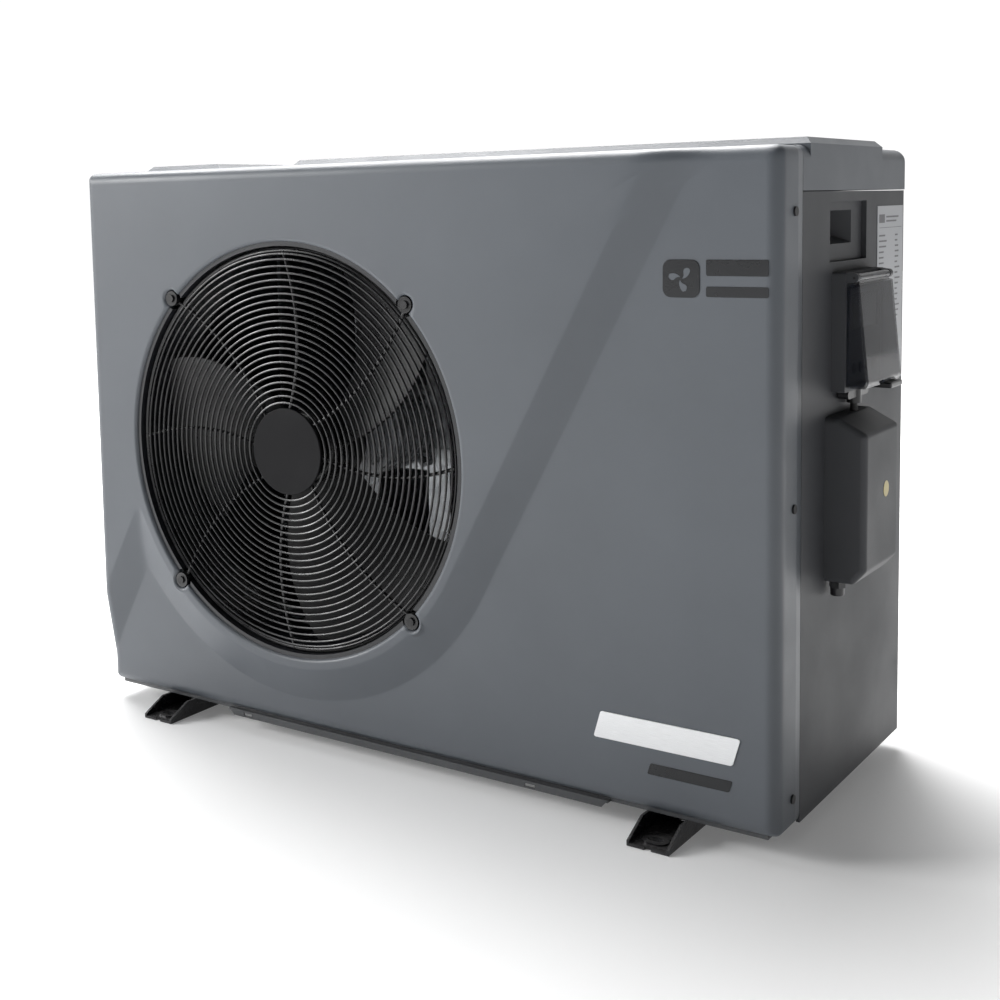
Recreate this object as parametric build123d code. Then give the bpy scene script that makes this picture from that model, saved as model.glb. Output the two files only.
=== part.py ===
from build123d import *
from math import acos, cos, degrees, radians, sin
import os

# Pool heat pump: a horizontal-discharge unit in a moulded casing.
# Millimetres, +Z up, +X to the right as seen from the fan side, fan side at -Y.
# The origin is on the ground, midway between the four fixing slots of the feet.

# ---- driving dimensions ----
WIDTH = 1000
DEPTH = 427
GROUND_GAP = 25
PANEL_HEIGHT = 726
WALL = 4
RELIEF = 15
FRONT_RETURN = 76
COVER_SEAM_HEIGHT = 678
FAN_X = -149.5
FAN_HEIGHT = 363
FAN_OPENING = 268
FOOT_SPACING = 740
FOOT_OVERHANG = 26
SLOT_INSET = 21
SEAM_GAP = 1

# ---- planes of the casing, worked out from the driving dimensions ----
HALF = WIDTH / 2
FRONT = -DEPTH / 2
REAR = DEPTH / 2
RECESS = FRONT + RELIEF
SEAM_Y = FRONT + FRONT_RETURN
BOTTOM = GROUND_GAP
PANEL_TOP = BOTTOM + PANEL_HEIGHT
COVER_Z = BOTTOM + COVER_SEAM_HEIGHT
LOW_TOP = PANEL_TOP + 1
PAD_TOP = LOW_TOP + 8.5
BACK_Y = REAR - 3.5
FAN_Z = BOTTOM + FAN_HEIGHT

# ---- raised field of the front panel ----
SLANT = 61.7
BEVEL = 44
FIELD_RADIUS = 281
LEFT_CORNER_OFFSET = -195

# ---- fasteners and grips of the casing ----
SCREW_HEIGHTS = (BOTTOM + 34, BOTTOM + 348, BOTTOM + 658)
SCREW_Y = FRONT + 55
POCKET_Y = (-55.5, 64.5)
POCKET_Z = (626, 692)
POCKET_DEPTH = 6
GRIP_Y = (-51.5, 29.5)
GRIP_Z = (645, 682)
GRIP_DEPTH = 28

# ---- base and feet ----
PAN_FLOOR = (BOTTOM - 3, BOTTOM)
PAN_SHEET = 2
PAN_X = (-486, 486)
PAN_Y = (-190, 202)
LIP_X = (-275, 300)
LIP_Y = RECESS + 1
DRAIN_SPOT = (0, 100)
FOOT_WIDTH = 50
FOOT_BOLTS = [(side * FOOT_SPACING / 2, y) for side in (-1, 1) for y in (-150, 150)]

# ---- fan ----
SHROUD_RADIUS = 262.5
EYE_RADIUS = 272
EYE_ANGLES = (45, 135, 225, 315)
RING_PITCH = 8.7
WIRE = 1.5
RING_Y = FRONT + 5.5
SPOKE_WIRE = 2.2
DISC_RADIUS = 56
BLADE_MID_Y = -138
BLADE_TIP = 250
HUB_RADIUS = 48
SHAFT_RADIUS = 6
SHAFT_CLEARANCE = 0.05
MOTOR_FRONT = -60
MOTOR_BACK = 40
LUG_RADIUS = 62

# ---- inner layout ----
PARTITION_X = 161
COIL_X = (-470, 140)
COIL_Y = (160, 198)
COIL_Z = (50, 696)
REAR_SPLIT = 144
GAUGE_SPOT = (210, 560)
COMPRESSOR = (262, -45)
COMPRESSOR_RADIUS = 64
ACCUMULATOR = (360, -80)
EXCHANGER = (392, 95)
EXCHANGER_RADIUS = 76
WATER_HEIGHTS = (150, 390)
VALVE = (-20, 440)
VALVE_X = (240, 330)
DRIER = (200, 110)
COIL_PIPE_Y = 165
COIL_PIPE_HEIGHTS = (310, 388)
PIPE = 5
UNION_RADIUS = 25
TRAY_X = (176, 458)
TRAY_Y = (-122, 60)
TRAY_Z = (510, 680)
WINDOW_Y = (-92, -8)
WINDOW_Z = (562, 658)
BOARD_Z = TRAY_Z[0] + 20
BOARD_SHEET = 2

# ---- right-hand side furniture ----
BOX_Y = (-68.5, 44.5)
BOX_Z = (275, 458)
BOX_FACE = HALF + 46
CONTROL_Y = (-48.5, 81.5)
CONTROL_Z = (483, 615)
CONTROL_DEPTH = 15
LID_Y = (-46.5, 71.5)
HINGE_X = HALF + 24
HINGE_Z = CONTROL_Z[1] - 6
HINGE_PIN = 1.5
EAR = 8
SCREEN_Y = (CONTROL_Y[0] + 9.3, CONTROL_Y[1] - 17.3)
SCREEN_Z = (CONTROL_Z[0] + 10.3, CONTROL_Z[1] - 18.3)
DISPLAY_Y = (SCREEN_Y[0] + 8, SCREEN_Y[1] - 8)
DISPLAY_Z = (SCREEN_Z[1] - 46, SCREEN_Z[1] - 6)
KEY_Y = (-22, 0, 22, 44)
KEY_Z = SCREEN_Z[0] + 14
GLAND_SPOT = (HALF + 11, -55)
GLAND_RADIUS = 6.5
GLAND_BORE = 5
LINK_SPOT = (HALF + 9, 0)

nodes = {}


# ---- helpers ----
def block(x, y, z):
    """Box between three (low, high) pairs."""
    size = [high - low for low, high in (x, y, z)]
    middle = [(low + high) / 2 for low, high in (x, y, z)]
    return Pos(*middle) * Box(*size)


def rod(axis, centre, radius, span):
    """Cylinder along one axis: centre holds the two other coordinates, span the two ends."""
    start, end = span
    turned = {"x": Rot(0, 90, 0), "y": Rot(90, 0, 0), "z": Rot(0, 0, 0)}[axis]
    middle = list(centre)
    middle.insert("xyz".index(axis), (start + end) / 2)
    return Pos(*middle) * turned * Cylinder(radius, end - start)


def ring(axis, centre, outer, inner, span):
    """Tube along one axis."""
    return rod(axis, centre, outer, span) - rod(axis, centre, inner, span)


def rounded(solid, radius, axis=None):
    """Round the edges of a solid, or only those along one axis."""
    edges = solid.edges() if axis is None else solid.edges().filter_by(axis)
    return fillet(edges, radius)


def prism_x(points, x):
    """Outline in (y, z) made solid between two x values."""
    outline = Polyline(*[(x[0], y, z) for y, z in points], close=True)
    return extrude(Face(Wire(outline.edges())), amount=x[1] - x[0], dir=(1, 0, 0))


def prism_y(points, y):
    """Outline in (x, z) made solid between two y values."""
    outline = Polyline(*[(x, y[0], z) for x, z in points], close=True)
    return extrude(Face(Wire(outline.edges())), amount=y[1] - y[0], dir=(0, 1, 0))


def pipe(points, radius, bend):
    """Round bar along straight runs joined by arcs."""
    path = FilletPolyline(*points, radius=bend)
    return sweep(Plane(origin=path @ 0, z_dir=path % 0) * Circle(radius), path=path)


def group(solids):
    """Separate solids kept as one node."""
    return Compound(children=[solid for item in solids for solid in item.solids()])


def around_fan(radius, angle):
    """Point (x, z) at a radius and an angle about the fan's axis."""
    return FAN_X + radius * cos(radians(angle)), FAN_Z + radius * sin(radians(angle))


def add(name, shape):
    """Keep a finished node under its name."""
    nodes[name] = shape


# ---- casing ----
def field_face(radius, corner_offset, y):
    """Outline of the raised field in the plane y.

    A slanting right edge runs down to an arc round the fan, the arc turns under the fan, and a
    parallel edge leaves it for the lower left corner.
    """
    along = (cos(radians(SLANT)), sin(radians(SLANT)))
    normal_angle = SLANT - 90
    end_angle = normal_angle - degrees(acos(corner_offset / radius))
    tangent = around_fan(radius, normal_angle)
    lowest = around_fan(radius, (normal_angle + end_angle) / 2)
    corner = around_fan(radius, end_angle)
    reach = WIDTH
    top = (tangent[0] + along[0] * reach, tangent[1] + along[1] * reach)
    left = (corner[0] - along[0] * reach, corner[1] - along[1] * reach)
    outside = (left[0] - reach, top[1])
    in_3d = [(x, y, z) for x, z in (top, tangent, lowest, corner, left, outside)]
    right_edge = Line(in_3d[0], in_3d[1])
    arc = ThreePointArc(in_3d[1], in_3d[2], in_3d[3])
    rest = Polyline(in_3d[3], in_3d[4], in_3d[5], in_3d[0])
    return Face(Wire([*right_edge.edges(), *arc.edges(), *rest.edges()]))


def tray(inset, front, back):
    """Rounded box the size of the front panel, drawn in by inset, open to the back plane."""
    body = block(
        (-HALF + inset, HALF - inset),
        (front + inset, back),
        (BOTTOM + inset, PANEL_TOP - inset),
    )
    body = rounded(body, 10 - inset, Axis.Y)
    front_edges = body.faces().sort_by(Axis.Y)[0].edges()
    return fillet(front_edges, 14 - inset)


def panel_body(inset, back):
    """Stepped front: the recessed tray, and the raised tray cut to the raised field."""
    base = field_face(FIELD_RADIUS + BEVEL, LEFT_CORNER_OFFSET + BEVEL, RECESS + inset)
    top = field_face(FIELD_RADIUS, LEFT_CORNER_OFFSET, FRONT + inset)
    bevelled = loft([base, top], ruled=True)
    straight = extrude(base, amount=back - RECESS - inset, dir=(0, 1, 0))
    raised = tray(inset, FRONT, back) & (bevelled + straight)
    return tray(inset, RECESS, back) + raised


def front_panel():
    body = panel_body(0, SEAM_Y) - panel_body(WALL, SEAM_Y + WALL)
    body -= block((-HALF + 8, HALF - 8), (RECESS + WALL, SEAM_Y + 1), (BOTTOM - 1, BOTTOM + 14))
    pillars = [rod("y", around_fan(EYE_RADIUS, a), 14, (FRONT + 3, FRONT + 22)) for a in EYE_ANGLES]
    body = body + pillars
    cuts = [rod("y", (FAN_X, FAN_Z), FAN_OPENING, (FRONT - 1, FRONT + 12.5))]
    cuts.append(rod("y", (FAN_X, FAN_Z), SHROUD_RADIUS + 0.5, (FRONT + 12.5, FRONT + 30)))
    for angle in EYE_ANGLES:
        cuts.append(rod("y", around_fan(EYE_RADIUS, angle), 11, (FRONT - 1, FRONT + 12.5)))
        cuts.append(rod("y", around_fan(EYE_RADIUS, angle), 2.2, (FRONT, FRONT + 30)))
    for side in (-1, 1):
        for z in SCREW_HEIGHTS:
            cuts.append(rod("x", (SCREW_Y, z), 2.2, sorted((side * (HALF - 10), side * (HALF + 1)))))
    return body - cuts


def casing_screws():
    """Pan-head screws in the side returns of the front panel and along the back of the cover."""
    screws = []
    for x in (-430, -230, 20, 230, 430):
        screws.append(rod("y", (x, COVER_Z + 15), 5, (REAR, REAR + 2)))
    for side in (-1, 1):
        for z in SCREW_HEIGHTS:
            head = rod("x", (SCREW_Y, z), 5, sorted((side * HALF, side * (HALF + 2))))
            shank = rod("x", (SCREW_Y, z), 1.9, sorted((side * (HALF - 14), side * (HALF + 0.5))))
            screws.append(head + shank)
    return group(screws)


def grip_cavity():
    """Space for the fingers: its floor rises inwards and its rear wall slants."""
    shallow, deep = HALF - POCKET_DEPTH + 0.5, HALF - GRIP_DEPTH
    corners = []
    for x, shrink in ((shallow, 0), (deep, 9)):
        low_y, high_y = GRIP_Y[0] + shrink / 4, GRIP_Y[1] - shrink
        low_z, high_z = GRIP_Z[0] + shrink, GRIP_Z[1]
        outline = [(x, low_y, low_z), (x, high_y, low_z), (x, high_y, high_z), (x, low_y, high_z)]
        corners.append(Face(Wire(Polyline(*outline, close=True).edges())))
    return loft(corners, ruled=True)


def side_panel(side):
    """Side wall with a rear return flange and a moulded hand pocket. side is +1 right, -1 left."""
    outer = block((HALF - 40, HALF), (SEAM_Y + SEAM_GAP, BACK_Y), (BOTTOM, COVER_Z))
    rear_edge = outer.edges().filter_by(Axis.Z).sort_by(Axis.Y)[-2:].sort_by(Axis.X)[-1]
    outer = fillet(rear_edge, 9)
    inner = block((HALF - 60, HALF - WALL), (SEAM_Y - 20, BACK_Y - WALL), (BOTTOM - 1, COVER_Z + 1))
    body = outer - inner
    backing_y = (POCKET_Y[0], POCKET_Y[1] + WALL)
    body += block((HALF - GRIP_DEPTH - WALL, HALF - 1), backing_y, (POCKET_Z[0] - WALL, POCKET_Z[1] + WALL))
    body -= block((HALF - POCKET_DEPTH, HALF + 1), POCKET_Y, POCKET_Z)
    body -= grip_cavity()
    if side > 0:
        body -= rod("x", (-12, BOX_Z[0] + 60), 12, (HALF - 10, HALF + 5))
        body -= rod("x", (16.5, 550), 8, (HALF - 10, HALF + 5))
        return body
    grooves = [block((HALF - 1.5, HALF + 5), (90, 190), (z, z + 9)) for z in range(120, 600, 24)]
    return mirror(body - grooves, Plane.YZ)


def top_cover():
    """Lid of the casing: low rim, two raised pads, rounded ends and back."""
    body = block((-HALF, HALF), (SEAM_Y + SEAM_GAP, REAR), (COVER_Z + SEAM_GAP, LOW_TOP))
    body = rounded(body, 9, Axis.Z)
    body += block((-HALF, HALF), (SEAM_Y + SEAM_GAP, 0), (COVER_Z + SEAM_GAP, LOW_TOP))
    top_edges = body.faces().sort_by(Axis.Z)[-1].edges()
    body = fillet([edge for edge in top_edges if edge.center().Y > SEAM_Y + 5], 14)
    for x in ((-478, -338), (-205, HALF)):
        pad = block(x, (-115, 119), (LOW_TOP - 20, PAD_TOP))
        body += chamfer(pad.faces().sort_by(Axis.Z)[-1].edges(), 7)
    body -= block((-HALF + WALL, HALF - WALL), (SEAM_Y - 5, REAR - WALL), (COVER_Z - 1, LOW_TOP - 14))
    return body - block((-HALF + 12, HALF - 12), (SEAM_Y - 5, REAR - 12), (COVER_Z, LOW_TOP - WALL))


def base_pan():
    """Folded tray with an upstand all round and a hanging front lip with two slots."""
    pan = block(PAN_X, PAN_Y, PAN_FLOOR) + block(LIP_X, (LIP_Y, PAN_Y[0]), PAN_FLOOR)
    upstand = block(PAN_X, PAN_Y, (PAN_FLOOR[1], BOTTOM + 20))
    inside = [(low + PAN_SHEET, high - PAN_SHEET) for low, high in (PAN_X, PAN_Y)]
    pan += upstand - block(*inside, (PAN_FLOOR[1], BOTTOM + 21))
    low, high = LIP_X
    outline = [(low, PAN_FLOOR[1]), (low + 8, BOTTOM - 9), (high - 8, BOTTOM - 9), (high, PAN_FLOOR[1])]
    lip = prism_y(outline, (LIP_Y, LIP_Y + PAN_SHEET))
    for x in (-242, 198):
        lip -= block((x - 7, x + 7), (LIP_Y - 1, LIP_Y + PAN_SHEET + 1), (BOTTOM - 7, BOTTOM - 3))
    pan += lip
    holes = [rod("z", DRAIN_SPOT, 9, (0, 40))]
    for spot in (*FOOT_BOLTS, *compressor_bolt_spots()):
        holes.append(rod("z", spot, 4.2, (0, 40)))
    return pan - holes


def foot(side):
    """Pressed channel: flat sole with a fixing slot near each tip, flanks that rise to the pan."""
    x = side * FOOT_SPACING / 2
    low, high = x - FOOT_WIDTH / 2, x + FOOT_WIDTH / 2
    tip = REAR + FOOT_OVERHANG
    flank = [(-tip, 0), (-tip, 6), (-REAR + 8, BOTTOM - 3), (REAR - 8, BOTTOM - 3), (tip, 6), (tip, 0)]
    channel = prism_x(flank, (low, high))
    channel -= block((low + 3, high - 3), (-tip - 1, tip + 1), (3, BOTTOM))
    top_strap = [block((low, high), (y - 18, y + 18), (BOTTOM - 6, BOTTOM - 3)) for y in (-150, 150)]
    channel = channel + top_strap
    for end in (-1, 1):
        slot_y = end * (tip - SLOT_INSET)
        channel += rounded(block((x - 15, x + 15), (slot_y - 11, slot_y + 11), (1, 5)), 10, Axis.Z)
        slot = rounded(block((x - 9, x + 9), (slot_y - 5, slot_y + 5), (-1, 9)), 4.99, Axis.Z)
        channel -= slot
        channel -= rod("z", (x, end * tip), 4, (-1, 9))
        channel -= rod("z", (x, end * 150), 4.2, (-1, 30))
    return channel


def base_bolts():
    """Hex bolts through the base pan: four for the feet, three for the compressor."""
    bolts = []
    for x, y in FOOT_BOLTS:
        shank = rod("z", (x, y), 4, (BOTTOM - 12, BOTTOM + 5))
        head = extrude(Pos(x, y, BOTTOM) * RegularPolygon(7, 6), amount=5)
        nut = extrude(Pos(x, y, BOTTOM - 12.5) * RegularPolygon(7, 6), amount=6.5)
        bolts.append(shank + head + nut)
    for x, y in compressor_bolt_spots():
        bolt = rod("z", (x, y), 4, (BOTTOM - 8, 54))
        bolt += rod("z", (x, y), 12, (48, 50))
        bolt += extrude(Pos(x, y, 50) * RegularPolygon(7, 6), amount=6)
        bolt += extrude(Pos(x, y, BOTTOM - 9) * RegularPolygon(7, 6), amount=6)
        bolts.append(bolt)
    return group(bolts)


def rear_panel():
    """Rear wall of the compressor bay with the holes for water, gauge and cable."""
    body = block((REAR_SPLIT, HALF - 42), (BACK_Y - 3, BACK_Y), (BOTTOM, COVER_Z))
    body += block((REAR_SPLIT, REAR_SPLIT + 3), (BACK_Y - 20, BACK_Y), (BOTTOM + 24, COVER_Z))
    for z in WATER_HEIGHTS:
        body -= rod("y", (EXCHANGER[0], z), UNION_RADIUS + 6, (BACK_Y - 5, BACK_Y + 5))
    body -= rod("y", GAUGE_SPOT, 24, (BACK_Y - 5, BACK_Y + 5))
    rib_x = (REAR_SPLIT + 30, HALF - 70)
    ribs = [block(rib_x, (BACK_Y, BACK_Y + 2), (z, z + 5)) for z in range(470, 640, 20)]
    return body + [rib - rod("y", GAUGE_SPOT, 34, (BACK_Y - 5, BACK_Y + 5)) for rib in ribs]


def rear_guard():
    """Wire guard over the coil: a bar frame, upright wires and cross wires."""
    low, high = -HALF + 44, REAR_SPLIT - 4
    y = BACK_Y - 6
    bottom, top = BOTTOM + 24, COVER_Z - 2
    frame = block((low, high), (y, y + 3), (bottom, top))
    frame -= block((low + 8, high - 8), (y - 1, y + 4), (bottom + 8, top - 8))
    wires = []
    for i in range(1, 22):
        x = low + i * (high - low) / 22
        wires.append(rod("z", (x, y + 1.5), 1.4, (bottom + 6, top - 6)))
    for i in range(1, 10):
        z = bottom + i * (top - bottom) / 10
        wires.append(rod("x", (y - 1.5, z), 1.4, (low + 2, high - 2)))
    return group([frame, *wires])


def partition():
    """Sheet wall between the fan bay and the compressor bay, with the heatsink window."""
    wall = block((PARTITION_X, PARTITION_X + 1.5), (-134, 199), (BOTTOM, COVER_Z - 3))
    wall -= block((PARTITION_X - 1, PARTITION_X + 3), WINDOW_Y, WINDOW_Z)
    return wall - [rod("x", (COIL_PIPE_Y, z), PIPE + 2, (150, 170)) for z in COIL_PIPE_HEIGHTS]


# ---- fan ----
def fan_shroud():
    """Bell mouth: front flange, straight barrel and a flared back edge, notched for the screw pillars."""
    centre = (FAN_X, FAN_Z)
    body = ring("y", centre, 279, SHROUD_RADIUS, (FRONT + WALL, FRONT + WALL + 2.5))
    body += ring("y", centre, SHROUD_RADIUS + 3, SHROUD_RADIUS, (FRONT + WALL, -115))
    flare = Pos(FAN_X, -108.5, FAN_Z) * Rot(90, 0, 0) * Cone(SHROUD_RADIUS + 18, SHROUD_RADIUS + 3, 13)
    flare -= Pos(FAN_X, -108.5, FAN_Z) * Rot(90, 0, 0) * Cone(SHROUD_RADIUS + 15, SHROUD_RADIUS, 13)
    body += flare
    return body - [rod("y", around_fan(EYE_RADIUS, a), 14.5, (FRONT, FRONT + 23)) for a in EYE_ANGLES]


def ring_wire(radius, y):
    """Wire bent to a circle about the fan's axis, eight-sided in section."""
    section = Plane(origin=(FAN_X + radius, y, FAN_Z)) * RegularPolygon(WIRE, 8)
    return revolve(section, Axis((FAN_X, 0, FAN_Z), (0, 1, 0)), 360)


def grille_rings():
    """Concentric wires: a flat field, then a few that step back into the opening."""
    rings = []
    count = 22
    for i in range(count):
        rings.append(ring_wire(DISC_RADIUS + 7 + i * RING_PITCH, RING_Y))
    for radius, step in ((252.5, 2), (256.5, 4), (259, 6.5), (260.5, 10)):
        rings.append(ring_wire(radius, RING_Y + step))
    return group(rings)


def spoke(angle, end_radius, lag):
    """Bowed wire behind the rings, from the centre disc to the rim."""
    y = RING_Y + WIRE + SPOKE_WIRE
    inner = around_fan(DISC_RADIUS - 12, angle)
    middle = around_fan((DISC_RADIUS + end_radius) / 2, angle - lag)
    outer = around_fan(end_radius, angle)
    path = ThreePointArc((inner[0], y, inner[1]), (middle[0], y, middle[1]), (outer[0], y, outer[1]))
    return sweep(Plane(origin=path @ 0, z_dir=path % 0) * Circle(SPOKE_WIRE), path=path)


def grille_spokes():
    """Eight bowed wires; every second one ends in a screw eye in a notch of the panel."""
    parts = []
    for i in range(8):
        angle = 45 * i
        if angle in EYE_ANGLES:
            eye = rod("y", around_fan(EYE_RADIUS, angle), 10, (FRONT + 1.5, FRONT + 12.5))
            wire = spoke(angle, EYE_RADIUS - 5, 7) + eye
            parts.append(wire - rod("y", around_fan(EYE_RADIUS, angle), 2.3, (FRONT, FRONT + 14)))
        else:
            parts.append(spoke(angle, 255, 7))
    return group(parts)


def grille_disc():
    """Flat cap over the middle of the grille."""
    disc = rod("y", (FAN_X, FAN_Z), DISC_RADIUS, (RING_Y - 1.5, RING_Y + 1.5))
    return fillet(disc.faces().sort_by(Axis.Y)[0].edges(), 1.2)


def fan_screws():
    """Pan-head screws: four through the grille eyes, four that hold the motor to its bracket."""
    screws = []
    for angle in EYE_ANGLES:
        eye = around_fan(EYE_RADIUS, angle)
        head = rod("y", eye, 5, (FRONT - 1, FRONT + 1.5))
        screws.append(head + rod("y", eye, 2, (FRONT + 1, FRONT + 20)))
        lug = around_fan(LUG_RADIUS, angle)
        head = rod("y", lug, 5, (MOTOR_BACK - 10.5, MOTOR_BACK - 8))
        screws.append(head + rod("y", lug, 2, (MOTOR_BACK - 9, MOTOR_BACK + 7)))
    return group(screws)


def blade_section(radius, angle, chord, pitch):
    """Thin slice of a blade, square to the radius."""
    a = radians(angle)
    x, z = around_fan(radius, angle)
    along = Vector(-sin(a) * cos(radians(pitch)), sin(radians(pitch)), cos(a) * cos(radians(pitch)))
    plane = Plane(origin=(x, BLADE_MID_Y, z), x_dir=along, z_dir=(cos(a), 0, sin(a)))
    return plane * Rectangle(chord, 3.2)


def fan_blades():
    """Moulded hub with three swept blades. Each section is a radius, a lead, a chord and a pitch."""
    sections = (
        (40, 0, 84, 44),
        (95, 4, 132, 35),
        (150, 11, 184, 27),
        (205, 20, 236, 21),
        (262, 31, 280, 17),
    )
    limit = rod("y", (FAN_X, FAN_Z), BLADE_TIP, (-190, -80))
    hub = rod("y", (FAN_X, FAN_Z), HUB_RADIUS, (-174, -104))
    hub = fillet(hub.faces().sort_by(Axis.Y)[0].edges(), 8)
    body = hub
    for i in range(3):
        slices = [blade_section(r, 40 + 120 * i + lead, chord, pitch) for r, lead, chord, pitch in sections]
        body += loft(slices) & limit
    return body - rod("y", (FAN_X, FAN_Z), SHAFT_RADIUS + SHAFT_CLEARANCE, (-180, -100))


def fan_nut():
    """Nut that holds the fan on its shaft."""
    nut = extrude(Plane(origin=(FAN_X, -174, FAN_Z), z_dir=(0, -1, 0)) * RegularPolygon(11, 6), amount=9)
    return nut - rod("y", (FAN_X, FAN_Z), SHAFT_RADIUS + SHAFT_CLEARANCE, (-190, -170))


def motor_shaft():
    """Shaft with a collar behind the fan hub."""
    shaft = rod("y", (FAN_X, FAN_Z), SHAFT_RADIUS, (-188, MOTOR_BACK - 20))
    return shaft + rod("y", (FAN_X, FAN_Z), SHAFT_RADIUS + 4, (-104, -98))


def fan_motor():
    """Motor body with end bell, cooling ribs and four mounting lugs."""
    centre = (FAN_X, FAN_Z)
    body = rod("y", centre, 54, (MOTOR_FRONT + 14, MOTOR_BACK))
    body += rod("y", centre, 44, (MOTOR_FRONT, MOTOR_FRONT + 14))
    body += [ring("y", centre, 57, 50, (y, y + 4)) for y in range(MOTOR_FRONT + 20, MOTOR_BACK - 10, 12)]
    for angle in EYE_ANGLES:
        lug = around_fan(LUG_RADIUS, angle)
        body += rod("y", lug, 10, (MOTOR_BACK - 8, MOTOR_BACK))
        body -= rod("y", lug, 2.2, (MOTOR_BACK - 9, MOTOR_BACK + 1))
    return body - rod("y", centre, SHAFT_RADIUS + SHAFT_CLEARANCE, (MOTOR_FRONT - 1, MOTOR_BACK - 15))


def motor_bracket():
    """Two upright channels from the base pan to the top, with two straps behind the motor."""
    top = COVER_Z - 4
    parts = []
    for side in (-1, 1):
        x = FAN_X + side * 62
        rail = block((x - 18, x + 18), (MOTOR_BACK + 3, MOTOR_BACK + 21), (BOTTOM, top))
        rail -= block((x - 16, x + 16), (MOTOR_BACK + 5, MOTOR_BACK + 22), (BOTTOM - 1, top + 1))
        parts.append(rail)
    for z in (FAN_Z - 44, FAN_Z + 44):
        strap = block((FAN_X - 85, FAN_X + 85), (MOTOR_BACK, MOTOR_BACK + 3), (z - 16, z + 16))
        parts.append(strap)
    body = parts[0] + parts[1:]
    for angle in EYE_ANGLES:
        body -= rod("y", around_fan(LUG_RADIUS, angle), 2.2, (MOTOR_BACK - 1, MOTOR_BACK + 8))
    return body


# ---- refrigerant circuit ----
def evaporator_fins():
    """Fin pack as one comb: thin fins on both sides of a middle web."""
    pitch, fin = 6, 1.2
    middle = (COIL_Y[0] + COIL_Y[1]) / 2
    low, high = COIL_X[0] + 2, COIL_X[1] - 2
    starts = [low + pitch * i for i in range(int((high - low - fin) // pitch) + 1)]
    front, back = [], []
    for x in starts:
        front += [(x, middle - 0.5), (x, COIL_Y[0]), (x + fin, COIL_Y[0]), (x + fin, middle - 0.5)]
        back += [(x, middle + 0.5), (x, COIL_Y[1]), (x + fin, COIL_Y[1]), (x + fin, middle + 0.5)]
    outline = [(x, y, COIL_Z[0]) for x, y in front[1:-1] + back[1:-1][::-1]]
    comb = Face(Wire(Polyline(*outline, close=True).edges()))
    return extrude(comb, amount=COIL_Z[1] - COIL_Z[0], dir=(0, 0, 1))


def evaporator_plates():
    """End plates of the coil."""
    plates = []
    for x in (COIL_X[0], COIL_X[1] - 2):
        plates.append(block((x, x + 2), (COIL_Y[0] - 6, COIL_Y[1] + 2), (BOTTOM, COIL_Z[1] + 4)))
    return group(plates)


def return_bend(x, side, z):
    """Half-round tube end between two coil passes, 25 mm apart."""
    y = (COIL_Y[0] + COIL_Y[1]) / 2
    path = ThreePointArc((x, y, z), (x + side * 12.5, y, z + 12.5), (x, y, z + 25))
    return sweep(Plane(origin=path @ 0, z_dir=path % 0) * Circle(4.8), path=path)


def evaporator_bends():
    """Tube ends that show at both end plates."""
    bends = []
    for i in range(12):
        z = COIL_Z[0] + 22 + i * 50
        bends.append(return_bend(COIL_X[1], 1, z))
        bends.append(return_bend(COIL_X[0], -1, z + 25))
    return group(bends)


def compressor_bolt_spots():
    """Three fixing points round the compressor, seen from above."""
    spots = []
    for angle in (30, 150, 270):
        turn = radians(angle)
        spots.append((COMPRESSOR[0] + 88 * cos(turn), COMPRESSOR[1] + 88 * sin(turn)))
    return spots


def compressor():
    """Welded shell with domed ends and a three-armed foot."""
    shell = rod("z", COMPRESSOR, COMPRESSOR_RADIUS, (48, 350))
    shell = fillet(shell.faces().sort_by(Axis.Z)[-1].edges(), 30)
    shell = fillet(shell.faces().sort_by(Axis.Z)[0].edges(), 14)
    shell += [rod("z", spot, 18, (44, 48)) for spot in compressor_bolt_spots()]
    shell += rod("z", COMPRESSOR, COMPRESSOR_RADIUS + 8, (44, 49))
    shell -= [rod("z", spot, 8, (40, 50)) for spot in compressor_bolt_spots()]
    return shell + rod("z", (COMPRESSOR[0] + 25, COMPRESSOR[1]), 15, (340, 362))


def compressor_grommets():
    """Rubber feet under the compressor."""
    return group([ring("z", spot, 14, 4.2, (BOTTOM, 44)) for spot in compressor_bolt_spots()])


def four_way_valve():
    """Reversing valve: slide barrel, three ports below, one above, and its pilot coil."""
    y, z = VALVE
    body = fillet(rod("x", VALVE, 15, VALVE_X).edges().filter_by(GeomType.CIRCLE), 4)
    for x in (VALVE_X[0] + 15, VALVE_X[0] + 45, VALVE_X[0] + 75):
        body += rod("z", (x, y), PIPE + 2, (z - 18, z))
    body += rod("z", (VALVE_X[0] + 45, y), PIPE + 2, (z, z + 18))
    coil = rounded(block((VALVE_X[0] + 28, VALVE_X[0] + 62), (y - 46, y - 18), (z - 12, z + 12)), 3)
    return body + coil + rod("y", (VALVE_X[0] + 45, z), 6, (y - 20, y))


def rounded_ends(vessel, dome):
    """Round the top and bottom rims of an upright vessel."""
    ends = vessel.faces().sort_by(Axis.Z)
    return fillet([*ends[0].edges(), *ends[-1].edges()], dome)


def filter_drier():
    """Copper-necked filter in the liquid line."""
    x, y = DRIER
    body = rounded_ends(rod("z", DRIER, 15, (160, 240)), 8)
    return body + rod("z", (x, y), PIPE + 1.5, (150, 250))


def expansion_valve():
    """Electronic valve: brass body, a branch towards the coil and a round actuator on top."""
    x, y = DRIER
    body = rod("z", DRIER, 10, (290, 326)) + rod("z", DRIER, 18, (326, 352))
    body = fillet(body.faces().sort_by(Axis.Z)[-1].edges(), 4)
    return body + rod("y", (x, COIL_PIPE_HEIGHTS[0]), PIPE + 1.5, (y, y + 18))


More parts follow.
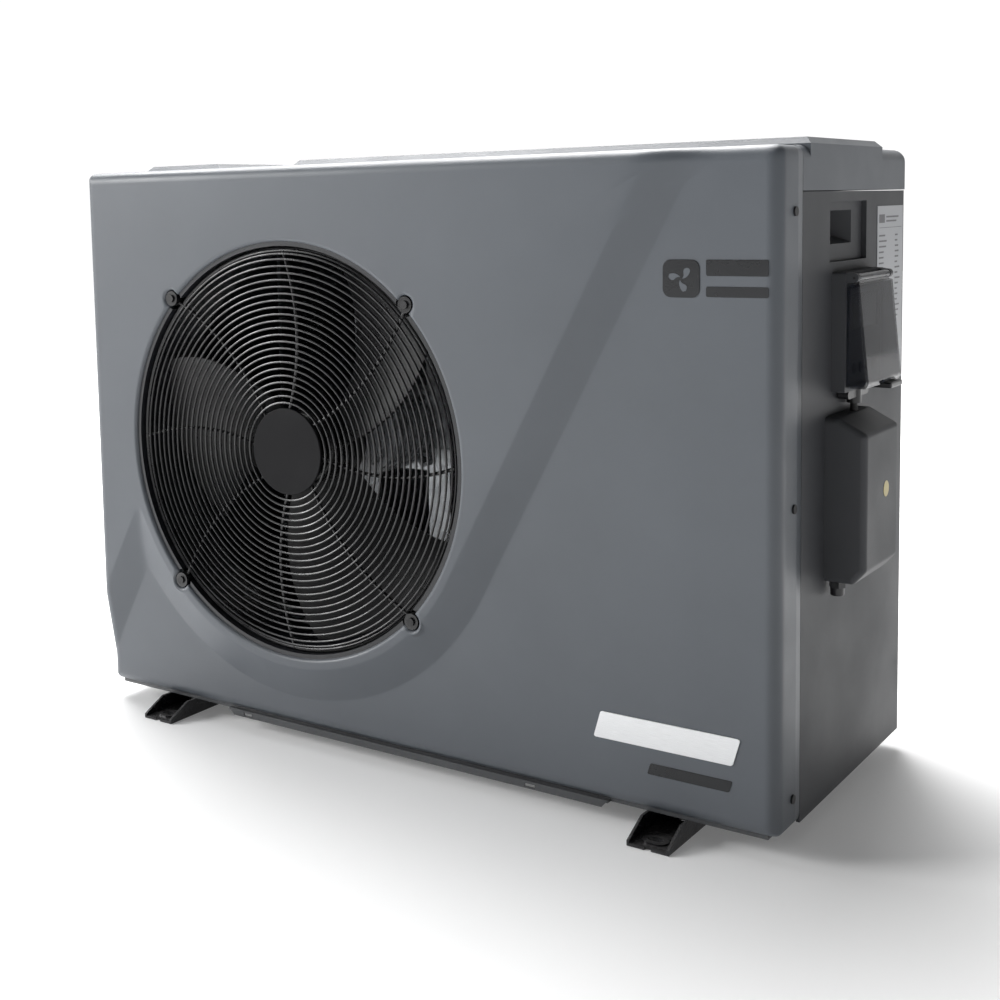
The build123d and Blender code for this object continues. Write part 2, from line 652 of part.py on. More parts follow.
def refrigerant_pipes():
    """Brazed copper pipework between compressor, valves, coil and exchanger."""
    cx, cy = COMPRESSOR
    ax, ay = ACCUMULATOR
    ex, ey = EXCHANGER
    dx, dy = DRIER
    vy, vz = VALVE
    left, middle, right = (VALVE_X[0] + offset for offset in (15, 45, 75))
    under, over = vz - 18, vz + 18
    low_coil, high_coil = COIL_PIPE_HEIGHTS
    coil_x = COIL_X[1]
    gap = (ax - cx, ay - cy)
    reach = (gap[0] ** 2 + gap[1] ** 2) ** 0.5
    wall = [c + (COMPRESSOR_RADIUS + 0.4) * g / reach for c, g in zip(COMPRESSOR, gap)]
    runs = [
        [(cx + 25, cy, 362), (cx + 25, cy, 392), (middle, vy, 392), (middle, vy, under)],
        [(ax, ay, 290), (ax, ay, 400), (right, vy, 400), (right, vy, under)],
        [(ax, ay, 90), (ax, ay, 70), (wall[0], wall[1], 70)],
        [
            (left, vy, under),
            (left, vy, high_coil),
            (dx, 80, high_coil),
            (dx, COIL_PIPE_Y, high_coil),
            (coil_x, COIL_PIPE_Y, high_coil),
        ],
        [(middle, vy, over), (middle, vy, 488), (ex, ey - 35, 488), (ex, ey - 35, 470)],
        [(ex - EXCHANGER_RADIUS - 0.3, ey, 130), (dx + 30, ey, 130), (dx, dy, 130), (dx, dy, 150)],
        [(dx, dy + 18, low_coil), (dx, COIL_PIPE_Y, low_coil), (coil_x, COIL_PIPE_Y, low_coil)],
    ]
    pipes = [pipe(run, PIPE, 8) for run in runs]
    pipes.append(rod("z", DRIER, PIPE, (250, 290)))
    return group(pipes)


def accumulator():
    """Suction accumulator beside the compressor."""
    return rounded_ends(rod("z", ACCUMULATOR, 32, (90, 290)), 14)


def exchanger():
    """Plastic shell of the titanium exchanger, with its water branches to the rear."""
    shell = rod("z", EXCHANGER, EXCHANGER_RADIUS, (60, 470))
    shell += rod("z", EXCHANGER, EXCHANGER_RADIUS + 6, (76, 104))
    shell += rod("z", EXCHANGER, EXCHANGER_RADIUS + 6, (426, 454))
    shell = rounded_ends(shell, 12)
    feet = [block((EXCHANGER[0] - 60, EXCHANGER[0] + 60), (y, y + 20), (BOTTOM, 62)) for y in (50, 120)]
    return shell + feet


def water_pipe(z):
    """Straight branch from the exchanger through the rear panel."""
    start = EXCHANGER[1] + 70
    length = (start, BACK_Y + 18)
    branch = ring("y", (EXCHANGER[0], z), UNION_RADIUS + 3, UNION_RADIUS - 3, length)
    return branch - rod("z", EXCHANGER, EXCHANGER_RADIUS + 0.3, (z - 60, z + 60))


def water_union(z):
    """Threaded union end that the pool pipe glues into."""
    centre = (EXCHANGER[0], z)
    body = ring("y", centre, UNION_RADIUS + 8, UNION_RADIUS, (BACK_Y + 18, BACK_Y + 50))
    return body + ring("y", centre, UNION_RADIUS + 12, UNION_RADIUS, (BACK_Y + 18, BACK_Y + 26))


def union_nut(z):
    """Ribbed nut round the union."""
    centre = (EXCHANGER[0], z)
    nut = ring("y", centre, 45, UNION_RADIUS + 12.3, (BACK_Y + 4, BACK_Y + 30))
    back = ring("y", centre, 45, UNION_RADIUS + 3.3, (BACK_Y + 4, BACK_Y + 8))
    ribs = []
    for i in range(16):
        a = 22.5 * i
        x, dz = 45 * cos(radians(a)), 45 * sin(radians(a))
        ribs.append(rod("y", (centre[0] + x, centre[1] + dz), 3, (BACK_Y + 4, BACK_Y + 30)))
    return nut + back + ribs


def flow_switch():
    """Switch housing that sits on the inlet branch."""
    z = WATER_HEIGHTS[0]
    x = EXCHANGER[0]
    y = 190
    body = block((x - 18, x + 18), (y - 14, y + 14), (z + UNION_RADIUS + 8, z + UNION_RADIUS + 45))
    body = rounded(body, 4)
    stem = rod("z", (x, y), 9, (z + UNION_RADIUS, z + UNION_RADIUS + 12))
    return body + (stem - rod("y", (x, z), UNION_RADIUS + 3, (y - 20, y + 20)))


def pressure_gauge():
    """Dial gauge case through the rear panel, with a hollow face."""
    case = rod("y", GAUGE_SPOT, 23, (BACK_Y - 25, BACK_Y + 6))
    case += rod("y", GAUGE_SPOT, 30, (BACK_Y, BACK_Y + 4))
    return case - rod("y", GAUGE_SPOT, 20.5, (BACK_Y + 2, BACK_Y + 8))


def gauge_glass():
    """Clear disc over the dial."""
    return rod("y", GAUGE_SPOT, 20.3, (BACK_Y + 4, BACK_Y + 5.5))


def drain_spout():
    """Condensate spout with a flange under the base pan."""
    spout = ring("z", DRAIN_SPOT, 8.8, 6.5, (5, BOTTOM + 2))
    return spout + ring("z", DRAIN_SPOT, 13, 6.5, (PAN_FLOOR[0] - 3, PAN_FLOOR[0]))


# ---- electronics ----
def electronics_box():
    """Open sheet tray for the board, with a window for the heatsink."""
    sheet = 2
    walls = [(low + sheet, high - sheet) for low, high in (TRAY_X, TRAY_Y)]
    box = block(TRAY_X, TRAY_Y, TRAY_Z) - block(*walls, (TRAY_Z[0] + sheet, TRAY_Z[1] + 1))
    return box - block((TRAY_X[0] - 1, TRAY_X[0] + sheet + 1), WINDOW_Y, WINDOW_Z)


def inverter_board():
    """Board on four posts."""
    board_x = (TRAY_X[0] + 20, TRAY_X[1] - 17)
    board = block(board_x, (TRAY_Y[0] + 15, TRAY_Y[1] - 15), (BOARD_Z, BOARD_Z + BOARD_SHEET))
    posts = []
    for x in (TRAY_X[0] + 30, TRAY_X[1] - 27):
        for y in (TRAY_Y[0] + 25, TRAY_Y[1] - 25):
            posts.append(rod("z", (x, y), 4, (TRAY_Z[0] + 2, BOARD_Z)))
    return board + posts


def board_parts():
    """Capacitors, relays and a filter choke on the board."""
    parts = []
    top = BOARD_Z + BOARD_SHEET
    for i in range(3):
        parts.append(rod("z", (250 + 34 * i, 20), 15, (top, top + 45)))
    for i in range(4):
        parts.append(rounded(block((240 + 30 * i, 262 + 30 * i), (-40, -22), (top, top + 18)), 1.5))
    parts.append(ring("z", (400, 5), 24, 11, (top, top + 22)))
    parts.append(block((300, 350), (-95, -55), (top, top + 8)))
    return group(parts)


def heatsink():
    """Finned block that looks into the fan bay through the window of the partition."""
    base_y = (WINDOW_Y[0] + 4, WINDOW_Y[1] - 4)
    base_z = (WINDOW_Z[0] + 4, WINDOW_Z[1] - 4)
    base = block((PARTITION_X + 3, TRAY_X[0] - 4), base_y, base_z)
    fin_z = (base_z[0] + 2, base_z[1] - 2)
    starts = range(base_y[0] + 2, base_y[1] - 2, 9)
    return base + [block((PARTITION_X - 41, PARTITION_X + 4), (y, y + 2.5), fin_z) for y in starts]


# ---- terminal box ----
def terminal_body(inset):
    """Wedge-topped body of the terminal cover, drawn in by inset."""
    x0, x1 = HALF, BOX_FACE - inset
    z0, z1 = BOX_Z[0] + inset, BOX_Z[1] - inset
    outline = [(x0, z0), (x1 - 14, z0), (x1, z0 + 16), (x1, z1 - 17), (x0 + 14, z1), (x0, z1)]
    body = prism_y(outline, (BOX_Y[0] + inset, BOX_Y[1] - inset))
    return fillet([edge for edge in body.edges() if edge.center().X > x0 + 1], 7 - inset)


def terminal_cover():
    """Hollow cover with a sloped top; its open side lies on the side panel."""
    cover = terminal_body(0) - terminal_body(3)
    cover -= rod("z", GLAND_SPOT, GLAND_RADIUS + 0.2, (BOX_Z[0] - 2, BOX_Z[0] + 12))
    return cover - rod("z", LINK_SPOT, 5.2, (BOX_Z[1] - 18, BOX_Z[1] + 12))


def terminal_block():
    """Row of screw terminals on the side panel inside the cover."""
    body = block((HALF, HALF + 14), (-42, 30), (330, 352))
    for i in range(6):
        y = -36 + 12 * i
        body -= rod("x", (y, 341), 3.6, (HALF + 8, HALF + 15))
    for i in range(5):
        y = -30 + 12 * i
        body += block((HALF, HALF + 18), (y - 0.8, y + 0.8), (330, 352))
    return body


def cable_gland():
    """Gland for the supply cable under the terminal box, ready for the owner's cable."""
    low, high = BOX_Z[0] - 16, BOX_Z[0] + 8
    body = rod("z", GLAND_SPOT, GLAND_RADIUS, (BOX_Z[0] - 7, high))
    body += extrude(Pos(*GLAND_SPOT, BOX_Z[0] - 7) * RegularPolygon(GLAND_RADIUS + 2.5, 6), amount=7)
    body += rod("z", GLAND_SPOT, GLAND_RADIUS + 1, (low, BOX_Z[0] - 7))
    body = fillet(body.faces().sort_by(Axis.Z)[0].edges(), 1.5)
    return body - rod("z", GLAND_SPOT, GLAND_BORE, (low - 1, high + 1))


# ---- controller ----
def controller_base():
    """Shallow housing on the side panel with two hinge ears along its top."""
    body = rounded(block((HALF, HALF + CONTROL_DEPTH), CONTROL_Y, CONTROL_Z), 3, Axis.X)
    cavity_y = (SCREEN_Y[0] - 0.3, SCREEN_Y[1] + 0.3)
    body -= block((HALF + 3, HALF + 20), cavity_y, (SCREEN_Z[0] - 0.3, SCREEN_Z[1] + 0.3))
    for y in ((CONTROL_Y[0] + 1, CONTROL_Y[0] + 1 + EAR), (LID_Y[1] - EAR, LID_Y[1])):
        ear = block((HALF + CONTROL_DEPTH - 2, HINGE_X), y, (HINGE_Z - 5, HINGE_Z + 5))
        ear += rod("y", (HINGE_X, HINGE_Z), 5, y)
        body += ear
    body -= rod("y", (HINGE_X, HINGE_Z), HINGE_PIN, (CONTROL_Y[0] - 5, CONTROL_Y[1] + 5))
    return body - rod("z", LINK_SPOT, 4.2, (CONTROL_Z[0] - 2, CONTROL_Z[0] + 12))


def controller_face():
    """Face plate of the controller with a display window and key holes."""
    plate = block((HALF + 12, HALF + 16), SCREEN_Y, SCREEN_Z)
    plate -= block((HALF + 13.5, HALF + 17), DISPLAY_Y, DISPLAY_Z)
    for y in KEY_Y:
        plate -= rod("x", (y, KEY_Z), 6.4, (HALF + 11, HALF + 17))
    return plate


def controller_display():
    """Display pane in the window of the face plate."""
    return block((HALF + 13.5, HALF + 15.5), DISPLAY_Y, DISPLAY_Z)


def key(y):
    """Round push key with a flange behind the face plate."""
    cap = rod("x", (y, KEY_Z), 6, (HALF + 11, HALF + 17.5))
    cap = fillet(cap.faces().sort_by(Axis.X)[-1].edges(), 0.8)
    return cap + rod("x", (y, KEY_Z), 7.5, (HALF + 10, HALF + 11.7))


def lid_outline(back, inset):
    """Side view of the lid between the plane back and its sloping face, drawn in by inset."""
    bottom, top = CONTROL_Z[0] + 5 + inset, HINGE_Z - 6 - inset
    front = HALF + 40 - inset
    return [(back, bottom), (front - 3, bottom), (front, bottom + 6), (front - 11, top), (back, top)]


def controller_lid():
    """Smoked hood over the controller, with a knuckle along its top edge."""
    sheet = 2
    back = HALF + CONTROL_DEPTH
    outer = prism_y(lid_outline(back + 0.8, 0), LID_Y)
    outer = fillet([edge for edge in outer.edges() if edge.center().X > back + 2], 2.5)
    body = outer - prism_y(lid_outline(back - 5, sheet), (LID_Y[0] + sheet, LID_Y[1] - sheet))
    knuckle_y = (CONTROL_Y[0] + EAR + 1.5, LID_Y[1] - EAR - 0.5)
    body += rod("y", (HINGE_X, HINGE_Z), 4.5, knuckle_y)
    body += block((HINGE_X - 3, HINGE_X + 3), knuckle_y, (HINGE_Z - 7.5, HINGE_Z - 2))
    return body - rod("y", (HINGE_X, HINGE_Z), HINGE_PIN + SHAFT_CLEARANCE, (CONTROL_Y[0], CONTROL_Y[1]))


def lid_pin():
    """Hinge pin through both ears."""
    return rod("y", (HINGE_X, HINGE_Z), HINGE_PIN, (CONTROL_Y[0] + 1, LID_Y[1]))


def lid_latch():
    """Finger tab under the lid."""
    z = CONTROL_Z[0] + 5
    return rounded(block((HALF + 18, HALF + 44), (LID_Y[1] - 50, LID_Y[1] - 10), (z - 6, z)), 1.5)


def link_cable():
    """Short sheathed lead between the controller and the terminal box."""
    return rod("z", LINK_SPOT, 4, (BOX_Z[1] - 14, CONTROL_Z[0] + 8))


def link_gland():
    """Winged sleeve nut round the lead under the controller."""
    nut = ring("z", LINK_SPOT, 8, 4.2, (CONTROL_Z[0] - 16, CONTROL_Z[0]))
    wings = block((HALF + 2, HALF + 14), (-34, 34), (CONTROL_Z[0] - 9, CONTROL_Z[0]))
    wings = rounded(wings, 4, Axis.X)
    return nut + (wings - rod("z", LINK_SPOT, 6, (CONTROL_Z[0] - 20, CONTROL_Z[0] + 1)))


def rating_label():
    """Plain rating plate on the right side panel."""
    return block((HALF, HALF + 0.6), (102.5, 198), (475, 685))


def build():
    add("front_panel", front_panel())
    add("casing_screws", casing_screws())
    add("right_side_panel", side_panel(1))
    add("left_side_panel", side_panel(-1))
    add("top_cover", top_cover())
    add("base_pan", base_pan())
    add("foot_left", foot(-1))
    add("foot_right", foot(1))
    add("base_bolts", base_bolts())
    add("rear_panel", rear_panel())
    add("rear_guard", rear_guard())
    add("partition", partition())
    add("fan_shroud", fan_shroud())
    add("grille_rings", grille_rings())
    add("grille_spokes", grille_spokes())
    add("grille_disc", grille_disc())
    add("fan_screws", fan_screws())
    add("fan_blades", fan_blades())
    add("fan_nut", fan_nut())
    add("motor_shaft", motor_shaft())
    add("fan_motor", fan_motor())
    add("motor_bracket", motor_bracket())
    add("evaporator_fins", evaporator_fins())
    add("evaporator_plates", evaporator_plates())
    add("evaporator_bends", evaporator_bends())
    add("compressor", compressor())
    add("compressor_grommets", compressor_grommets())
    add("accumulator", accumulator())
    add("four_way_valve", four_way_valve())
    add("filter_drier", filter_drier())
    add("expansion_valve", expansion_valve())
    add("refrigerant_pipes", refrigerant_pipes())
    add("heat_exchanger", exchanger())
    add("water_pipes", group([water_pipe(z) for z in WATER_HEIGHTS]))
    add("water_unions", group([water_union(z) for z in WATER_HEIGHTS]))
    add("union_nuts", group([union_nut(z) for z in WATER_HEIGHTS]))
    add("flow_switch", flow_switch())
    add("pressure_gauge", pressure_gauge())
    add("gauge_glass", gauge_glass())
    add("drain_spout", drain_spout())
    add("electronics_box", electronics_box())
    add("inverter_board", inverter_board())
    add("board_components", board_parts())
    add("heatsink", heatsink())
    add("terminal_cover", terminal_cover())
    add("terminal_block", terminal_block())
    add("cable_gland", cable_gland())
    add("controller_base", controller_base())
    add("controller_face", controller_face())
    add("controller_display", controller_display())
    for name, y in zip(("power", "mode", "down", "up"), KEY_Y):
        add(f"key_{name}", key(y))
    add("controller_lid", controller_lid())
    add("lid_pin", lid_pin())
    add("lid_latch", lid_latch())
    add("link_cable", link_cable())
    add("link_gland", link_gland())
    add("rating_label", rating_label())


build()
os.makedirs("parts", exist_ok=True)
for node_name, node_shape in nodes.items():
    export_step(node_shape, f"parts/{node_name}.step")
print(len(nodes), "nodes")
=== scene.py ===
import math
import random

import bpy
import numpy as np
from mathutils import Matrix, Vector


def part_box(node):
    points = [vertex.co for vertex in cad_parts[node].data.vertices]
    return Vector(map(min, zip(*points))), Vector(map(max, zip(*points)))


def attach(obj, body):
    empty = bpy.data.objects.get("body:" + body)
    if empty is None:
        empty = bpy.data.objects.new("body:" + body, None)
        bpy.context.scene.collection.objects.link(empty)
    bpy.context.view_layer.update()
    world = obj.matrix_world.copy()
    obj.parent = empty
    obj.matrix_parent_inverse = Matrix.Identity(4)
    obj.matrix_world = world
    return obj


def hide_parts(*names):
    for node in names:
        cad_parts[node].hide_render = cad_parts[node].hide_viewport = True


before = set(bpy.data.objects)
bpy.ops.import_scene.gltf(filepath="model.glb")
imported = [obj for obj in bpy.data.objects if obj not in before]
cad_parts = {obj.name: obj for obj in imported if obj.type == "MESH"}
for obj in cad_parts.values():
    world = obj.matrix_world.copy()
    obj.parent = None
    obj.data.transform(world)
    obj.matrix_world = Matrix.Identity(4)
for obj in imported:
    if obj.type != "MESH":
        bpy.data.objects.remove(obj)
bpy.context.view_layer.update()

# Looks of a pool heat pump: metres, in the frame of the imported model.
# +X is the controller side, -Y the fan side, +Z up.

MM = 0.001


# ---- places read from the frame ----
def span(node, axis):
    """Lowest and highest value of a node along an axis, 0 to 2."""
    low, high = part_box(node)
    return low[axis], high[axis]


def middle(node):
    low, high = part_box(node)
    return (low + high) / 2


FAN = middle("grille_disc")
PANEL_X = span("front_panel", 0)
PANEL_Y = span("front_panel", 1)
PANEL_Z = span("front_panel", 2)
RELIEF = 15 * MM
FACE_Y = PANEL_Y[0]
FIELD_Y = FACE_Y + RELIEF


# ---- material helpers ----
class Nodes:
    """A material's node tree, with short calls for what the finishes below use."""

    def __init__(self, name):
        self.material = bpy.data.materials.new(name)
        self.material.use_nodes = True
        self.tree = self.material.node_tree
        self.shader = self.tree.nodes["Principled BSDF"]
        self.place = self.add("ShaderNodeTexCoord").outputs["Object"]

    def add(self, kind, **settings):
        node = self.tree.nodes.new(kind)
        for key, value in settings.items():
            setattr(node, key, value)
        return node

    def link(self, source, target):
        self.tree.links.new(source, target)

    def stretched(self, scale):
        """Object coordinates, scaled per axis."""
        mapping = self.add("ShaderNodeMapping")
        mapping.inputs["Scale"].default_value = scale
        self.link(self.place, mapping.inputs["Vector"])
        return mapping.outputs["Vector"]

    def noise(self, scale, detail=3.0, rough=0.55, vector=None):
        node = self.add("ShaderNodeTexNoise")
        node.inputs["Scale"].default_value = scale
        node.inputs["Detail"].default_value = detail
        node.inputs["Roughness"].default_value = rough
        self.link(vector or self.place, node.inputs["Vector"])
        return node.outputs["Fac"]

    def cells(self, scale, vector=None):
        node = self.add("ShaderNodeTexVoronoi")
        node.inputs["Scale"].default_value = scale
        self.link(vector or self.place, node.inputs["Vector"])
        return node.outputs["Distance"]

    def ramp(self, value, stops):
        """Colour ramp through (position, (r, g, b)) stops."""
        node = self.add("ShaderNodeValToRGB")
        elements = node.color_ramp.elements
        while len(elements) < len(stops):
            elements.new(0.5)
        for element, (position, color) in zip(elements, stops):
            element.position = position
            element.color = (*color, 1.0)
        self.link(value, node.inputs["Fac"])
        return node.outputs["Color"]

    def span(self, value, low, high, start=0.3, end=0.7):
        """Value mapped from start..end to low..high."""
        node = self.add("ShaderNodeMapRange")
        for key, number in zip(("From Min", "From Max", "To Min", "To Max"), (start, end, low, high)):
            node.inputs[key].default_value = number
        self.link(value, node.inputs["Value"])
        return node.outputs["Result"]

    def mix(self, factor, first, second):
        node = self.add("ShaderNodeMix", data_type="RGBA")
        self.link(factor, node.inputs["Factor"])
        for socket, value in (("A", first), ("B", second)):
            target = [s for s in node.inputs if s.name == socket and s.type == "RGBA"][0]
            if isinstance(value, tuple):
                target.default_value = (*value, 1.0)
            else:
                self.link(value, target)
        return [s for s in node.outputs if s.type == "RGBA"][0]

    def bump(self, height, distance, strength=1.0, below=None):
        node = self.add("ShaderNodeBump")
        node.inputs["Distance"].default_value = distance
        node.inputs["Strength"].default_value = strength
        self.link(height, node.inputs["Height"])
        if below is not None:
            self.link(below, node.inputs["Normal"])
        return node.outputs["Normal"]

    def set(self, **values):
        """Constants go on the shader's own sockets, outputs are linked."""
        for key, value in values.items():
            socket = self.shader.inputs[key.replace("_", " ")]
            if isinstance(value, bpy.types.NodeSocket):
                self.link(value, socket)
            elif isinstance(value, tuple):
                socket.default_value = (*value, 1.0)
            else:
                socket.default_value = value


def shade(color, factor):
    return tuple(min(1.0, c * factor) for c in color)


def moulded(name, color, rough=0.42, grain=900.0, depth=0.00012, mottle=0.06, coat=0.0, specular=0.5):
    """Injection-moulded plastic: fine spark-eroded grain, faint cloudy tone and gloss changes."""
    n = Nodes(name)
    cloud = n.noise(5.0, 4.0)
    tone = n.ramp(cloud, [(0.3, shade(color, 1 - mottle)), (0.7, shade(color, 1 + mottle))])
    speck = n.noise(grain * 1.7, 2.0)
    dusted = n.mix(n.span(speck, 0.0, 0.12, 0.55, 0.8), tone, shade(color, 1.5))
    gloss = n.span(n.noise(9.0, 5.0), rough - 0.05, rough + 0.07)
    fine = n.bump(n.noise(grain, 2.0), depth)
    n.set(Base_Color=dusted, Roughness=gloss, Normal=n.bump(cloud, 0.0006, 0.25, fine))
    n.set(Coat_Weight=coat, Coat_Roughness=0.3, Specular_IOR_Level=specular)
    return n.material


def enamel(name, color, rough=0.28, peel=260.0, dust=0.08):
    """Powder-coated or enamelled steel: orange peel, a little settled dust on faces that look up."""
    n = Nodes(name)
    tone = n.ramp(n.noise(14.0, 4.0), [(0.3, shade(color, 0.85)), (0.75, shade(color, 1.2))])
    up = n.add("ShaderNodeSeparateXYZ")
    n.link(n.add("ShaderNodeNewGeometry").outputs["Normal"], up.inputs[0])
    dusty = n.mix(n.span(up.outputs["Z"], 0.0, dust, 0.5, 1.0), tone, (0.32, 0.31, 0.30))
    n.set(Base_Color=dusty, Roughness=n.span(n.noise(60.0, 3.0), rough - 0.06, rough + 0.1))
    n.set(Normal=n.bump(n.noise(peel, 2.0), 0.00025, 0.6))
    return n.material


def galvanised(name, color=(0.52, 0.54, 0.56), rough=0.36):
    """Zinc-coated sheet with spangle."""
    n = Nodes(name)
    spangle = n.cells(90.0)
    tone = n.ramp(spangle, [(0.0, shade(color, 0.8)), (0.5, color), (1.0, shade(color, 1.15))])
    n.set(Base_Color=tone, Metallic=0.9, Roughness=n.span(spangle, rough - 0.06, rough + 0.12, 0.1, 0.8))
    n.set(Normal=n.bump(n.noise(400.0, 2.0), 0.0001, 0.5))
    return n.material


def drawn_metal(name, color, rough=0.3, stretch=(8.0, 8.0, 400.0), stain=None):
    """Metal with directional brushing and an optional stain tone."""
    n = Nodes(name)
    lines = n.noise(6.0, 6.0, 0.7, n.stretched(stretch))
    tone = n.ramp(lines, [(0.3, shade(color, 0.82)), (0.7, shade(color, 1.08))])
    if stain:
        tone = n.mix(n.span(n.noise(30.0, 5.0), 0.0, 0.7, 0.5, 0.75), tone, stain)
    n.set(Base_Color=tone, Metallic=1.0, Roughness=n.span(lines, rough - 0.08, rough + 0.12))
    n.set(Normal=n.bump(lines, 0.00012, 0.4))
    return n.material


def elastomer(name, color):
    """Rubber: matt, faintly bloomed."""
    n = Nodes(name)
    bloom = n.span(n.noise(40.0, 5.0), 0.0, 0.25, 0.45, 0.8)
    n.set(Base_Color=n.mix(bloom, color, shade(color, 2.4)), Roughness=n.span(n.noise(90.0), 0.62, 0.8))
    n.set(Normal=n.bump(n.noise(700.0, 2.0), 0.00015, 0.7))
    return n.material


def smoked(name, color, alpha):
    """Tinted clear plastic with fine haze."""
    n = Nodes(name)
    haze = n.noise(12.0, 4.0)
    n.set(Base_Color=n.ramp(haze, [(0.3, color), (0.8, shade(color, 1.8))]))
    n.set(Roughness=n.span(haze, 0.05, 0.09), Alpha=alpha)
    n.set(Normal=n.bump(n.noise(14.0, 1.0), 0.0003, 0.1))
    return n.material


def circuit(name):
    """Green board with traces and pads."""
    n = Nodes(name)
    bricks = n.add("ShaderNodeTexBrick")
    n.link(n.stretched((1.0, 1.0, 1.0)), bricks.inputs["Vector"])
    bricks.inputs["Scale"].default_value = 60.0
    bricks.inputs["Mortar Size"].default_value = 0.03
    bricks.inputs["Color1"].default_value = (0.010, 0.085, 0.035, 1)
    bricks.inputs["Color2"].default_value = (0.014, 0.110, 0.045, 1)
    bricks.inputs["Mortar"].default_value = (0.05, 0.20, 0.09, 1)
    pads = n.span(n.cells(240.0), 1.0, 0.0, 0.15, 0.2)
    n.set(Base_Color=n.mix(pads, bricks.outputs["Color"], (0.55, 0.52, 0.40)))
    n.set(Roughness=n.span(n.noise(50.0), 0.3, 0.45), Normal=n.bump(bricks.outputs["Fac"], 0.0002, 0.5))
    return n.material


def finishes():
    """Every finish by name."""
    casing = (0.088, 0.098, 0.112)
    side = (0.056, 0.058, 0.063)
    return {
        "casing": moulded("casing_plastic", casing),
        "side": moulded("side_plastic", side, rough=0.5, specular=0.25),
        "cover": moulded("cover_plastic", casing, rough=0.40),
        "grille": enamel("grille_enamel", (0.005, 0.005, 0.006), rough=0.30, dust=0.02),
        "feet": enamel("feet_enamel", (0.014, 0.014, 0.016), rough=0.24, dust=0.12),
        "pan": enamel("pan_paint", (0.055, 0.058, 0.062), rough=0.35),
        "compressor": enamel("compressor_paint", (0.016, 0.016, 0.018), rough=0.22),
        "shroud": moulded("shroud_plastic", (0.012, 0.013, 0.016), rough=0.36),
        "blades": moulded("blade_plastic", (0.012, 0.012, 0.013), rough=0.30),
        "disc": moulded("disc_plastic", (0.006, 0.006, 0.007), rough=0.62, specular=0.15),
        "black": moulded("black_plastic", (0.014, 0.014, 0.016), rough=0.34),
        "screw": enamel("screw_black", (0.004, 0.004, 0.005), rough=0.5, dust=0.0),
        "zinc": galvanised("zinc_sheet"),
        "bolt": drawn_metal("zinc_bolt", (0.55, 0.56, 0.58), rough=0.28),
        # Fin metal for the coil, shared by the heatsink: its base colour is set far below bare aluminium as painted
        # shade, standing in for the shade on the coil deep inside the unit.
        "fins": drawn_metal("fin_aluminium", (0.34, 0.36, 0.38), rough=0.42),
        "motor": enamel("motor_paint", (0.30, 0.31, 0.33), rough=0.34),
        "copper": drawn_metal("copper_tube", (0.80, 0.36, 0.20), rough=0.28, stain=(0.30, 0.12, 0.06)),
        "brass": drawn_metal("valve_brass", (0.74, 0.55, 0.24), rough=0.26, stain=(0.40, 0.26, 0.08)),
        "rubber": elastomer("black_rubber", (0.018, 0.018, 0.018)),
        "key": elastomer("key_rubber", (0.055, 0.057, 0.062)),
        "pvc": moulded("grey_pvc", (0.105, 0.110, 0.118), rough=0.32, grain=500.0),
        "white_pvc": moulded("white_pvc", (0.68, 0.68, 0.65), rough=0.34, grain=500.0, mottle=0.03),
        "terminal": moulded("terminal_plastic", (0.58, 0.56, 0.50), rough=0.4, mottle=0.03),
        "board": circuit("circuit_board"),
        "component": moulded("component_plastic", (0.02, 0.02, 0.024), rough=0.25),
        "smoked": smoked("smoked_lid", (0.006, 0.008, 0.014), 0.55),
        "glass": smoked("gauge_glass", (0.8, 0.84, 0.86), 0.2),
        "display": moulded("display_glass", (0.010, 0.013, 0.016), rough=0.12, grain=200.0, depth=0.00002, coat=0.6),
        "face": moulded("face_plastic", (0.085, 0.088, 0.094), rough=0.42),
        "gauge": moulded("gauge_plastic", (0.60, 0.60, 0.58), rough=0.35, mottle=0.03),
        "label": moulded("label_film", (0.36, 0.37, 0.39), rough=0.34, grain=300.0, depth=0.00002, mottle=0.03),
        "print": moulded("label_print", (0.10, 0.10, 0.11), rough=0.4, grain=300.0, depth=0.00002),
        "silver": drawn_metal("badge_silver", (0.80, 0.81, 0.82), rough=0.34, stretch=(10.0, 10.0, 900.0)),
        "badge": moulded("badge_black", (0.010, 0.011, 0.013), rough=0.26),
        "amber": moulded("sticker_amber", (0.42, 0.34, 0.10), rough=0.4, mottle=0.04),
    }


FINISH_OF_NODE = {
    "casing_screws": "screw",
    "right_side_panel": "side",
    "left_side_panel": "side",
    "rear_panel": "side",
    "top_cover": "cover",
    "base_pan": "pan",
    "foot_left": "feet",
    "foot_right": "feet",
    "base_bolts": "bolt",
    "rear_guard": "grille",
    "partition": "zinc",
    "fan_shroud": "shroud",
    "grille_rings": "grille",
    "grille_spokes": "grille",
    "grille_disc": "disc",
    "fan_screws": "screw",
    "fan_blades": "blades",
    "fan_nut": "bolt",
    "motor_shaft": "bolt",
    "fan_motor": "motor",
    "motor_bracket": "zinc",
    "evaporator_plates": "zinc",
    "evaporator_bends": "copper",
    "compressor": "compressor",
    "compressor_grommets": "rubber",
    "accumulator": "compressor",
    "four_way_valve": "brass",
    "filter_drier": "copper",
    "expansion_valve": "brass",
    "refrigerant_pipes": "copper",
    "heat_exchanger": "pvc",
    "water_pipes": "white_pvc",
    "water_unions": "white_pvc",
    "union_nuts": "pvc",
    "flow_switch": "black",
    "pressure_gauge": "gauge",
    "gauge_glass": "glass",
    "drain_spout": "black",
    "electronics_box": "zinc",
    "inverter_board": "board",
    "board_components": "component",
    "heatsink": "fins",
    "terminal_cover": "side",
    "terminal_block": "terminal",
    "cable_gland": "black",
    "controller_base": "side",
    "controller_face": "face",
    "controller_display": "display",
    "key_power": "key",
    "key_mode": "key",
    "key_down": "key",
    "key_up": "key",
    "controller_lid": "smoked",
    "lid_pin": "screw",
    "lid_latch": "black",
    "link_cable": "rubber",
    "link_gland": "black",
    "rating_label": "label",
}


